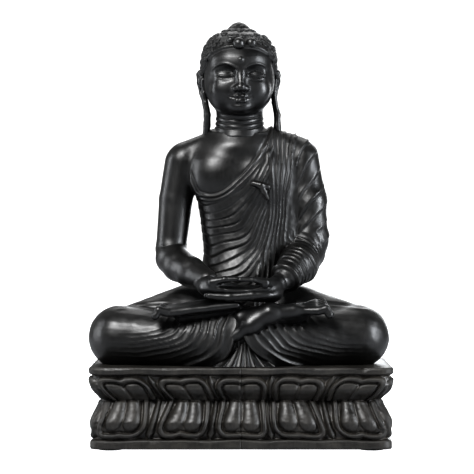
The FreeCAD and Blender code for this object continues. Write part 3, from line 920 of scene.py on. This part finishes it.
def lap_relief(points, normals):
    """The robe over the legs: folds that leave the feet downwards and bend outwards to the knees.

    On each side they are square-shouldered ellipses about a point above the knee, so the phase is the scaled
    distance from that point, in the sum of powers that makes the shoulders. The outermost ring is a broad
    hem.
    """
    x, _, z = points.T
    relief = np.zeros(len(points))
    in_front = smooth_step(-normals[:, 1], 0.0, 0.45)
    for side, seed in ((-1, 21), (1, 24)):
        centre_x, centre_z, wide, tall = side * 84.0, 102.0, 86.0, 52.0
        power = 2.7 - 0.2 * side
        ring = np.abs((x - centre_x) / wide) ** power + np.abs((z - centre_z) / tall) ** power
        ring = ring ** (1 / power) + 0.014 * wobble(points, 30.0, seed)
        own = smooth_step(side * x, 0.0, 1.5)
        towards_middle = smooth_step(-side * (x - centre_x), -16, 30)
        low_side = 1 - smooth_step(z, 98, 103)
        mask = own * in_front * low_side * towards_middle
        depth = 0.5 + 1.9 * smooth_step(ring, 0.36, 0.80) * smooth_step(z, slab_top + 2, slab_top + 16)
        phase = (ring - 0.34) / 0.062 + 0.16 * wobble(points, 18.0, seed + 1)
        folds = ply(phase, 0.26) * (0.78 + 0.22 * np.cos(2.2 * phase))
        relief += depth * folds * mask * smooth_step(ring, 0.32, 0.40) * (1 - smooth_step(ring, 0.865, 0.88))
        band = smooth_step(ring, 0.875, 0.89) * (1 - smooth_step(ring, 0.985, 1.0))
        relief += (1.5 * band + 0.7 * bell(ring - 0.895, 0.010) + 0.8 * bell(ring - 0.975, 0.012)) * mask
        relief -= 2.2 * smooth_step(ring, 0.99, 1.01) * mask * (1 - smooth_step(z, 86, 92))
        crease = z - (101.0 - 0.0016 * (side * x - 70.0) ** 2 - 0.06 * (side * x - 70.0))
        above_knee = smooth_step(side * x, 48, 60) * (1 - smooth_step(side * x, 84, 96)) * in_front
        relief += above_knee * (0.7 * bell(crease + 1.6, 1.1) - 1.1 * bell(crease, 0.9))
    behind = smooth_step(normals[:, 1], 0.1, 0.5)
    drape = (z + 0.0022 * x * x) / 7.0 + 0.2 * wobble(points, 45.0, 27)
    relief += 0.9 * ply(drape, 0.2) * behind * smooth_step(z, 60, 66)
    return relief + 0.14 * wobble(points, 17.0, 28) + 0.07 * wobble(points, 6.0, 29)


def build_lap():
    """Both folded legs as one skin, flat where they sit on the pedestal."""
    block = Block((-110, -52, slab_top - 2), (110, trunk_y + 38, 120), 0.85)
    block.add_all(lap_parts())
    block.dig(egg((3.0, -54.0, 60.0), (19.0, 13.5, 19.0)), 3.0)
    block.trim_below(slab_top)
    points, faces = skin_of(block)
    normals = outward(points, faces)
    relief = lap_relief(points, normals) * smooth_step(points[:, 2], slab_top + 0.2, slab_top + 1.5)
    points = points + normals * relief[:, None]
    mesh_piece("lap_block", points, faces, robe_wood)


def hand_parts(side, wrist, palm, finger_z, reach, thumb_z):
    """A hand lying palm up: wrist, palm, four fingers side by side towards the other side, and a thumb.

    side is -1 for the right hand. Fingers run from the palm to reach, each at its own depth.
    """
    heel = (palm[0] + side * 9.0, palm[1] + 3.5, palm[2] + 1.2)
    parts = [(limb(wrist, heel, 6.6, 6.4), 2.0), (egg(heel, (8.0, 9.0, 6.6)), 3.0),
             (egg(palm, (14.5, 11.5, 5.2)), 3.0)]
    for i, (short, thick) in enumerate(((1.6, 3.0), (0.0, 3.0), (1.4, 2.8), (5.0, 2.5))):
        depth = palm[1] - 8.6 + 5.2 * i
        knuckle = (palm[0] - side * 5, depth, palm[2] - 0.3)
        middle = (0.5 * (knuckle[0] + reach), depth + 0.3, finger_z - 0.3)
        tip = (reach + side * short, depth + 0.9, finger_z + 0.7)
        parts += chain([knuckle, middle, tip], [thick + 0.3, thick, 0.78 * thick], 1.6)
    thumb = [(wrist[0] - side * 3.5, wrist[1] - 7.0, wrist[2] - 0.2),
             (side * 18.5, palm[1] - 8.0, thumb_z - 2.2), (side * 10.0, palm[1] - 11.0, thumb_z - 0.3),
             (side * 1.2, palm[1] - 11.6, thumb_z)]
    return parts + chain(thumb, [4.6, 3.6, 2.6, 2.2], (3.0, 0.9, 0.7))


def build_hand(node, parts, low, high):
    """One hand as a fine skin, hollowed under the arc of the thumbs."""
    block = Block(low, high, 0.5)
    block.add_all(parts)
    block.dig(egg((0.5, -49.0, 115.6), (16.0, 9.5, 2.9)), 1.5)
    small_piece(node, block, 0.05, 9.0, 31)


def build_hands():
    """The left hand below and the right hand on it, thumbs meeting in an arc above the palms."""
    left = hand_parts(1, (27.5, -26, 116.0), (14, -36, 108.8), 107.6, -22.5, 119.4)
    right = hand_parts(-1, (-26, -26.5, 117.4), (-12.5, -35, 113.2), 112.7, 21.5, 119.8)
    build_hand("left_hand", left, (-30, -54, 98), (36, -16, 128))
    build_hand("right_hand", right, (-38, -54, 102), (30, -16, 130))


def foot_parts(side, heel, ball, slope):
    """A foot lying on the thigh with its sole up: a slab from heel to ball, and five toes in a slanting row.

    side is the side that the toes point to. The slab and the row of toes rise by slope from the near edge
    back.
    """
    heel, ball = np.array(heel, float), np.array(ball, float)
    row = np.array([0.0, 0.94, slope])
    parts = [(limb(heel, ball, 2.2, 3.1), 2.0)]
    for share in (0.33, 0.66, 1.0):
        away = row * 14.0 * share
        start = heel + away * 0.8 + np.array([side * 15.0 * share, 0, 0])
        parts.append((limb(start, ball + away, 2.9, 2.8), 4.0))
    under = np.array([0.0, 9.5, -3.6])
    parts.append((limb(heel + under, ball + under + np.array([-side * 8.0, 0, 0]), 5.5, 4.0), 6.0))
    for i, (size, length) in enumerate(((3.1, 8.5), (2.4, 8.0), (2.2, 7.2), (2.0, 6.4), (1.8, 5.6))):
        root = ball + row * (-0.8 + 3.7 * i) + np.array([side * 2.0, 0, 0.4])
        knuckle = root + np.array([side * 0.62 * length, -0.4, 1.6])
        tip = root + np.array([side * 0.9 * length, -1.0, -2.4])
        parts += chain([root, knuckle, tip], [size, size * 0.9, size], 0.9)
    return parts


def build_foot(node, parts, low, high):
    """One foot as a fine skin."""
    block = Block(low, high, 0.55)
    block.add_all(parts)
    small_piece(node, block, 0.10, 8.0, 33)


def build_feet():
    """The left foot on the right thigh, and the right foot with its crossing shin on the left thigh."""
    left = foot_parts(-1, (-1.5, -43.0, 101.6), (-49.0, -45.0, 96.4), 0.16)
    right = foot_parts(1, (36.0, -42.5, 97.6), (54.0, -44.0, 97.6), 0.36)
    shin = chain([(-4.5, -42.0, 79.0), (9.0, -42.4, 87.6), (22.0, -42.2, 95.4), (38.0, -42.0, 97.6)],
                 [4.6, 6.2, 6.3, 4.9], 5.0)
    shin.append((limb((2.0, -36.4, 92.0), (22.0, -41.3, 95.6), 7.0, 6.2), 5.0))
    shin.append((limb((16.0, -35.0, 92.5), (40.0, -34.5, 95.0), 5.6, 5.2), 5.0))
    build_foot("left_foot", left, (-66, -54, 84), (6, -20, 114))
    build_foot("right_foot", right + shin, (-12, -56, 70), (70, -16, 116))


# ---------------------------------------------------------------- the head
skull_rows = [(240, 15, 15, 8, 17), (246, 20, 20, 15, 22), (253, 23, 23, 21, 27),
              (262, 25.0, 25.0, 26.5, 29.5), (270, 25.6, 25.6, 28.5, 30),
              (278, 25.2, 25.2, 28.5, 29.5), (284, 24.0, 24.0, 25.5, 27.5),
              (288, 22.1, 22.1, 22, 24), (291, 19.8, 19.8, 18.5, 20.5), (293.5, 16.6, 16.6, 15, 16.5),
              (295.5, 12.5, 12.5, 11.5, 13), (297, 8, 8, 7, 8)]
neck_rows = [(221, 19.5, 21.0, 19, 19), (225, 18.0, 19.2, 18, 17.5), (230, 16.9, 18.0, 17.2, 16.6),
             (240, 16.2, 17.2, 16.0, 16), (252, 16.2, 16.6, 13, 18)]
eye_x, eye_z = 11.0, 264.6
brow_line = [(0, 267.0), (3.0, 269.6), (7.0, 272.0), (12.0, 273.0), (17.0, 271.6), (22.0, 267.6)]
curl_pitch = 4.5
# The height of the hair's edge, by angle from the face round to the back.
hair_edge = [(0, 284.5), (0.5, 282.5), (0.9, 277), (1.25, 269), (1.6, 262), (1.95, 252), (2.45, 245),
             (3.2, 242)]


def head_parts():
    """A skull of level rings, a face egg, jaw, chin, cheeks and forehead, and the neck."""
    parts = [(column(skull_rows, 2.1), 1.0), (egg((0, 6.0, 258.5), (24.2, 22.5, 22.5)), 6.0),
             (egg((0, 1.0, 248.5), (18.5, 16.0, 11.0)), 6.0), (egg((0, -11.2, 242.4), (7.0, 5.0, 4.8)), 4.5),
             (egg((0, -2, 274), (21, 14.5, 13)), 6.0)]
    for side in (-1, 1):
        parts.append((egg((side * 12.0, -7.6, 254.5), (8.6, 6.8, 8.2)), 5.0))
    return parts + [(column(neck_rows, 2.0), 2.0)]


def face_features():
    """Nose and lips, joined with tight creases."""
    parts = [(limb((0, -13.6, 269.0), (0, -18.2, 256.4), 2.4, 3.0), 3.0),
             (egg((0, -18.6, 255.6), (3.2, 2.8, 2.5)), 1.8)]
    for side in (-1, 1):
        parts.append((egg((side * 3.8, -16.4, 254.9), (2.2, 2.9, 2.0)), 1.8))
        upper = [(side * 7.4, -13.9, 248.9), (side * 2.4, -16.0, 249.6), (0, -15.9, 249.2)]
        lower = [(side * 6.2, -14.2, 247.3), (side * 2.5, -15.6, 246.4), (0, -15.8, 246.3)]
        parts += chain(upper, [0.8, 1.4, 1.3], 0.9) + chain(lower, [0.8, 1.7, 1.8], 0.9)
    return parts


def around(points):
    """The angle of each point about the head's upright axis, 0 at the face and pi at the back of the head."""
    return np.abs(np.arctan2(points[:, 0], trunk_y + 1 - points[:, 1]))


def head_relief(points):
    """Brows, eyelids, mouth line, hair edge and neck rings, each a bell of the distance to its own line."""
    x, y, z = points.T
    face = smooth_step(-y, -4, 4) * (z > 236)
    across = np.abs(x)
    brow = z - curve_through(across, brow_line)
    beside_nose = smooth_step(across, 1.0, 3.5)
    on_brow = face * beside_nose * smooth_step(-across, -22, -17)
    relief = on_brow * (0.65 * bell(brow, 0.8) - 0.25 * bell(brow + 1.8, 1.2))
    out = across - eye_x
    lid = z - (eye_z - 1.6 + 0.030 * out ** 2)
    on_eye = face * smooth_step(-np.abs(out), -6.9, -5.6)
    relief += on_eye * (0.45 * bell(lid - 1.0, 0.6) - 0.95 * bell(lid, 0.42) + 0.40 * bell(lid + 1.0, 0.55))
    crease = z - (eye_z + 3.6 - 0.050 * out ** 2)
    relief -= 0.35 * on_eye * bell(crease, 0.5)
    mouth = z - (248.15 + 0.016 * x * x)
    relief -= face * smooth_step(-across, -9.0, -7.0) * 0.75 * bell(mouth, 0.38)
    relief -= face * 0.6 * bell(across - 8.3, 1.0) * bell(z - 249.4, 1.3)
    relief -= face * 0.45 * bell(x, 1.0) * bell(z - 252.0, 1.6)
    relief -= face * 0.5 * bell(x, 6.0) * bell(z - 243.9, 1.1)
    relief -= face * 0.5 * bell(across - 2.2, 0.8) * bell(z - 252.9, 0.7)
    relief += face * 1.1 * np.sqrt(np.clip(1 - (x / 2.0) ** 2 - ((z - 275.8) / 2.0) ** 2, 0, 1))
    hair = z - curve_through(around(points), hair_edge)
    relief += 1.7 * smooth_step(hair, -0.2, 1.0)
    neck = smooth_step(-z, -238, -234) * (y < trunk_y + 12)
    for ring_z in (226.4, 230.0, 233.6):
        relief -= neck * 1.0 * bell(z - ring_z - 0.010 * x * x, 0.60)
    relief += neck * 0.35
    return relief + 0.07 * wobble(points, 13.0, 41)


def turn_head(points):
    """The head looks slightly to its left: a turn about the upright axis that fades out down the neck."""
    angle = math.radians(2.5) * smooth_step(points[:, 2], 226, 242)
    x, y = points[:, 0], points[:, 1] - trunk_y
    return np.stack([x * np.cos(angle) - y * np.sin(angle), x * np.sin(angle) + y * np.cos(angle) + trunk_y,
                     points[:, 2]], 1)


def curl_shell(centres, normals, sizes, heights):
    """Snail curls on a surface: a dome of rings whose height winds with the angle like a shell.

    Height is the root of one less the radius squared, less a groove where angle plus turns times radius
    is whole. All curls are one array: centre + two tangents times the ring circle + normal times height.
    """
    rings, spokes = 5, 9
    radius = np.linspace(0.0, 1.0, rings + 1)[::-1]
    angle = np.linspace(0, 2 * np.pi, spokes, endpoint=False)
    r, a = np.meshgrid(radius, angle, indexing="ij")
    groove = 0.5 + 0.5 * np.cos(a - 2 * np.pi * 1.4 * r)
    height = np.sqrt(np.clip(1.0 - (0.97 * r) ** 2, 0, 1)) - 0.20 * groove * np.sin(np.pi * r)
    height[0] = -0.55
    side = np.cross(normals, [0.3, 0.2, 0.9])
    side /= np.linalg.norm(side, axis=1, keepdims=True)
    other = np.cross(normals, side)
    spin = np.random.default_rng(43).uniform(0, 2 * np.pi, len(centres))
    flat_a = np.cos(a[None] + spin[:, None, None]) * r[None]
    flat_b = np.sin(a[None] + spin[:, None, None]) * r[None]
    points = (centres[:, None, None] + side[:, None, None] * (flat_a * sizes[:, None, None])[..., None]
              + other[:, None, None] * (flat_b * sizes[:, None, None])[..., None]
              + normals[:, None, None] * (height[None] * heights[:, None, None])[..., None])
    faces = grid_faces(rings + 1, spokes, wrap=True)[:, ::-1]
    first = (rings + 1) * spokes * np.arange(len(centres))
    return points.reshape(-1, 3), (faces[None] + first[:, None, None]).reshape(-1, 4)


def drop_onto(block, points):
    """Points moved along the block's slope onto its surface, and the outward directions there."""
    for _ in range(5):
        way, steepness = block.slope(points)
        points = points - way * (block.at(points) / np.maximum(steepness, 0.4))[:, None]
    return points, block.slope(points)[0]


def build_head():
    """Head and neck in one fine skin, and the hair as rows of snail curls set on it."""
    block = Block((-33, -28, 221), (33, trunk_y + 34, 299), 0.48)
    block.add_all(head_parts())
    for side in (-1, 1):
        block.dig(egg((side * eye_x, -15.4, eye_z + 1.9), (7.0, 5.2, 4.0)), 4.0)
    for side in (-1, 1):
        block.add(egg((side * eye_x, -7.4, eye_z - 0.6), (7.0, 5.0, 5.4)), 2.4)
    block.add_all(face_features())
    chance = np.random.default_rng(44)
    spots = []
    for row, tilt in enumerate(np.arange(0.42, 2.1, curl_pitch / 27.0)):
        count = max(int(2 * np.pi * 27.0 * np.sin(tilt) / (1.04 * curl_pitch)), 5)
        turn = (np.arange(count) + 0.5 * (row % 2)) * 2 * np.pi / count
        spots.append(np.stack([turn, np.full(count, tilt)], 1))
    spots = np.concatenate(spots) + chance.normal(0, 0.022, (sum(map(len, spots)), 2))
    turn, tilt = spots.T
    seeds = np.stack([27.0 * np.sin(tilt) * np.sin(turn), trunk_y + 1 - 29.0 * np.sin(tilt) * np.cos(turn),
                      268.0 + 27.0 * np.cos(tilt)], 1)
    seeds, normals = drop_onto(block, seeds)
    knobs = np.array([[-1.2, -12.0, 287.6], [8.0, -10.5, 288.8], [-7.2, -9.0, 292.6]])
    knobs, knob_normals = drop_onto(block, knobs)
    clear = np.min(np.linalg.norm(seeds[:, None] - knobs[None], axis=2), axis=1) > 5.4
    keep = clear & (seeds[:, 2] > curve_through(around(seeds), hair_edge) + 2.2)
    seeds, normals = seeds[keep], normals[keep]
    sizes = chance.uniform(2.4, 3.3, len(seeds))
    heights = sizes * chance.uniform(0.38, 0.62, len(seeds))
    curls, curl_faces = curl_shell(seeds + normals * 1.5, normals, sizes, heights)

    for centre, size in zip(knobs + knob_normals * 1.5, (2.9, 2.5, 1.5)):
        block.add(egg(centre, (size, size, size)), 0.4)
    points, faces = skin_of(block)
    carved = points + outward(points, faces) * head_relief(points)[:, None]
    mesh_piece("head_block", turn_head(carved), faces, figure_wood, fine_crest)
    mesh_piece("head_block", turn_head(curls), curl_faces, figure_wood, 0.08, name="carved_hair_curls")


def build_crown_knob():
    """The raised crown of hair: rings whose radius falls in a bell shape to the tip, with low curls."""
    knots = [(287.0, 15.5), (291.0, 15.5), (294.0, 15.2), (296.3, 13.7), (298.0, 11.0), (299.5, 8.9),
             (302.0, 6.2), (304.0, 3.4), (305.0, 0.0)]
    share = np.linspace(0, 1, 56)
    z = 287.0 + (crown_top - 287.0) * np.sin(0.5 * np.pi * share)
    angle = np.linspace(0, 2 * np.pi, 120, endpoint=False)
    zz, aa = np.meshgrid(z, angle, indexing="ij")
    places = np.stack([12 * np.sin(aa), 12 * np.cos(aa), zz], -1)
    below = crown_top - zz
    bumps = (0.55 * np.abs(np.sin(4 * aa + 0.9 * below)) * np.abs(np.sin(0.62 * below))
             + 0.3 * wobble(places, 6.0, 45))
    low = smooth_step(below, 1.0, 5.0)
    radius = np.maximum(curve_through(zz, knots) - 0.3 + bumps * low, 0.0) * (share[:, None] < 1)
    points = np.stack([radius * np.sin(aa), trunk_y + 1 - radius * np.cos(aa), zz], -1).reshape(-1, 3)
    faces = grid_faces(len(z), len(angle), wrap=True)[:, ::-1]
    mesh_piece("crown_knob", turn_head(points), faces, figure_wood)


def build_ear(side, node):
    """A tall ear: a bowl inside a rolled rim, and a slit lobe of two strands that meet on the shoulder.

    Both lobes hang a little towards the figure's left, more the lower they are.
    """
    rim = [(25.4, 11.0, 252.0), (26.2, 11.0, 262.5), (27.9, 14.5, 268.0), (28.8, 20.0, 267.0),
           (28.6, 23.5, 261.0), (27.0, 23.0, 253.5), (25.2, 19.5, 246.5)]
    front = [(25.4, 11.0, 253.0), (24.8, 10.8, 246.0), (24.4, 10.5, 237.0), (24.7, 11.0, 229.5),
             (25.4, 12.0, 222.5)]
    back = [(25.2, 19.5, 247.0), (25.0, 17.8, 240.0), (25.2, 15.6, 232.0), (25.6, 13.0, 224.0)]
    inner = [(26.0, 14.5, 263.0), (26.8, 18.5, 261.0), (26.2, 19.2, 255.0), (25.2, 16.0, 249.5)]

    def place(points):
        lean = 2.4 + 0.8 * side
        return [(side * x + lean * float(smooth_step(251.0 - z, 0.0, 14.0)), y, z) for x, y, z in points]

    block = Block((side * 26 - 7, 4, 219), (side * 26 + 7, 30, 274), 0.42)
    block.add(egg((side * 24.8, 16.0, 257.5), (1.9, 7.0, 10.5)), 0.8)
    block.add(egg((side * 27.0, 17.5 - 1.2 * side, 262.0), (3.4, 4.4, 5.0)), 0.8)
    block.add_all(chain(place(rim), [1.6, 1.8, 2.0, 2.0, 1.8, 1.7, 1.6], 0.6))
    block.add_all(chain(place(inner), [0.9, 1.2, 1.2, 0.9], 0.6))
    block.add_all(chain(place(front), [1.8, 2.1, 2.4, 2.5, 2.6], 0.8))
    block.add_all(chain(place(back), [1.8, 2.0, 2.1, 2.3], 0.8))
    small_piece(node, block, 0.12, 7.0, 46 + side, turned=True)


fan_centre_x = 4.0


def build_hem_fan():
    """The gathered hem between the shins: a fan of pleats that widens down to the pedestal.

    Across is -1 to 1 and down is 0 to 1. The half width grows with down to the power 1.3, the height falls
    with it, and the pleats are crests at even steps of across. A second layer behind closes the shell.
    """
    across = np.linspace(-1, 1, 201)
    down = np.linspace(0, 1, 50)
    d, a = np.meshgrid(down, across, indexing="ij")
    wide = 8.0 + 15.0 * d ** 1.3
    x = fan_centre_x + a * wide
    top = slab_top + 17.0 - 5.0 * np.abs(a) ** 1.5
    z = top + (slab_top + 0.3 - top) * d ** 0.9
    pleats = ply(3.5 * np.sign(a) * np.abs(a) ** 0.85 + 0.5, 0.1) * (1.0 + 1.3 * d)
    y = fan_low[1] + 9.0 - 6.0 * d ** 1.3 + 4.0 * a ** 2 - pleats
    front = np.stack([x, y, z], -1)
    behind = np.stack([x, np.full_like(x, fan_high[1] + 1.0), np.maximum(z - 0.4, slab_top)], -1)
    shell = np.concatenate([front, behind[::-1]], axis=0)
    points = shell.transpose(1, 0, 2)
    faces = grid_faces(points.shape[0], points.shape[1], wrap=True)
    mesh_piece("hem_fan", points.reshape(-1, 3), faces, robe_wood)


# ---------------------------------------------------------------- all pieces
pedestal_half(-1, "pedestal_right_block")
pedestal_half(1, "pedestal_left_block")
build_lap()
build_body()
build_head()
build_crown_knob()
build_ear(-1, "right_ear")
build_ear(1, "left_ear")
build_feet()
build_hands()
build_hem_fan()

finishes = {"figure_wood": figure_wood, "pedestal_wood": pedestal_wood, "dowel_wood": dowel_wood,
            "board_wood": board_wood, "brass_screw": brass_screw, "steel_screw": steel_screw, "felt": felt}
for row in frame["record"]["subparts"]:
    for holder in frame["nodes"][row["node"]].material_slots:
        holder.material = finishes[row["material_slot"]]


# ---------------------------------------------------------------- floor, lights and camera
def make_floor():
    """A plain pale floor disc, white like the backdrop to the camera and dim where it lights the object."""
    rim = np.linspace(0, 2 * np.pi, 96, endpoint=False)
    points = np.stack([6.0 * np.cos(rim), 6.0 * np.sin(rim), 0 * rim], 1)
    mesh = bpy.data.meshes.new("floor")
    mesh.from_pydata(points.tolist(), [], [list(range(len(points)))])
    floor = bpy.data.objects.new("floor", mesh)
    bpy.context.scene.collection.objects.link(floor)
    pale = Finish("pale_floor")
    seen = pale.node("ShaderNodeLightPath").outputs["Is Camera Ray"]
    pale.wire(pale.shader, {"Base Color": (0.45, 0.46, 0.48, 1), "Roughness": 0.9,
                            "Emission Color": (1, 1, 1, 1),
                            "Emission Strength": pale.span(seen, 0.0, 1.0, 0.04, 0.93)})
    mesh.materials.append(pale.material)


def area_light(name, place, size, power, colour=(1, 1, 1)):
    """A soft rectangular light at a place, in millimetres, that faces the chest."""
    data = bpy.data.lights.new(name, "AREA")
    data.shape = "RECTANGLE"
    data.size, data.size_y = size[0] * MM, size[1] * MM
    data.energy = power
    data.color = colour
    light = bpy.data.objects.new(name, data)
    light.location = np.array(place) * MM
    light.rotation_euler = direction_to(place, (middle_x, 0.0, 170.0)).to_euler()
    bpy.context.scene.collection.objects.link(light)


def direction_to(place, aim):
    """The turn that makes a light or camera at a place face an aim."""
    return Vector(np.array(aim, float) - np.array(place, float)).to_track_quat("-Z", "Y")


room_light, backdrop_light = 0.008, 0.45


def backdrop_world():
    """White to the camera; to all else a bright backdrop behind that falls off to a dim room in front."""
    world = bpy.data.worlds.new("studio")
    bpy.context.scene.world = world
    world.use_nodes = True
    sky = Nodes(world.node_tree)
    direction = sky.node("ShaderNodeTexCoord").outputs["Generated"]
    behind = sky.node("ShaderNodeSeparateXYZ", {"Vector": direction}).outputs["Y"]
    fall = sky.node("ShaderNodeMapRange", {"Value": behind, "From Min": -0.35, "From Max": 0.9,
                                           "To Min": room_light, "To Max": backdrop_light})
    cast = sky.node("ShaderNodeBackground", {"Strength": fall.outputs["Result"]})
    seen = sky.node("ShaderNodeBackground", {"Strength": 1.0, "Color": (1, 1, 1, 1)})
    rays = sky.node("ShaderNodeLightPath").outputs["Is Camera Ray"]
    mix = sky.node("ShaderNodeMixShader", {"Fac": rays, 1: cast.outputs["Background"],
                                           2: seen.outputs["Background"]})
    sky.node("ShaderNodeOutputWorld", {"Surface": mix.outputs["Shader"]})


make_floor()
backdrop_world()
area_light("key_upper_left", (-480, -850, 1050), (520, 520), 24)
area_light("side_right", (1050, -450, 420), (260, 800), 18, (0.93, 0.96, 1.0))
area_light("side_left", (-1050, 50, 350), (240, 800), 6.2, (0.95, 0.97, 1.0))
area_light("front_right", (700, -1500, 500), (500, 600), 1.0)
area_light("top_back", (0, 700, 1100), (900, 500), 4)
area_light("low_back", (350, 1500, 450), (900, 900), 9, (0.96, 0.98, 1.0))

camera_data = bpy.data.cameras.new("camera")
camera_data.lens = 178.7
camera_data.sensor_width = 36.0
camera_data.clip_end = 50.0
camera = bpy.data.objects.new("camera", camera_data)
camera_distance = 1640.0
eye = (0.0, -half_depth - camera_distance, 176.3)
aim = (-2.8, -half_depth, 149.8)
camera.location = np.array(eye) * MM
camera.rotation_euler = direction_to(eye, aim).to_euler()
bpy.context.scene.collection.objects.link(camera)
bpy.context.scene.camera = camera
bpy.context.scene.view_settings.view_transform = "Standard"
bpy.context.scene.view_settings.look = "High Contrast"
